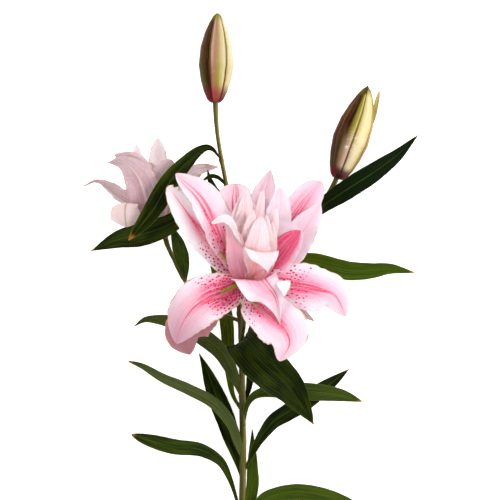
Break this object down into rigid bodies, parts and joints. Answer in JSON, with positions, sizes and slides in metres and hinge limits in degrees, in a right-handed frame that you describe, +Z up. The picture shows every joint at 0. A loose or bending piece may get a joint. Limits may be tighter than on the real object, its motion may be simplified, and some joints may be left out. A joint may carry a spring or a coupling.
{
  "type": "cut double pink lily stem",
  "caption": "Cut leafy lily stem lying down, with an open double bloom, a side bloom seen from its back and closed buds.",
  "frame": {"origin": "centre of the bounding box at the surface that the stem lies on", "axes": "+Y from the cut end of the stem towards the flowers, +X to the right as seen from above, +Z up"},
  "size_m": [0.3462, 0.568, 0.128],
  "materials": {
    "stem": "smooth green skin with brown and pale streaks",
    "leaf": "waxy dark green with parallel veins",
    "petal": "satin pink with magenta midribs and dark spots",
    "petal_pale": "satin dusty pink with faint veins",
    "bud": "satin, from burgundy to cream and yellow-green"
  },
  "bodies": {
    "root": {"stem": "stem", "leaf_low_left": "leaf", "leaf_low_right": "leaf", "leaf_low_upright": "leaf", "leaf_left_behind": "leaf", "leaf_middle_right": "leaf", "leaf_middle_left": "leaf", "leaf_upper_right": "leaf", "leaf_back_right": "leaf", "leaf_back_left": "leaf", "leaf_upper_left": "leaf", "leaf_front": "leaf", "leaf_side_stalk": "leaf", "leaf_right": "leaf", "leaf_right_bud": "leaf", "leaf_long_left": "leaf", "leaf_top_bud": "leaf", "leaf_loop": "leaf", "leaf_spike": "leaf", "bud_top": "bud", "bud_right": "bud", "bloom_main": "petal", "bloom_side": "petal_pale"}
  },
  "joints": []
}
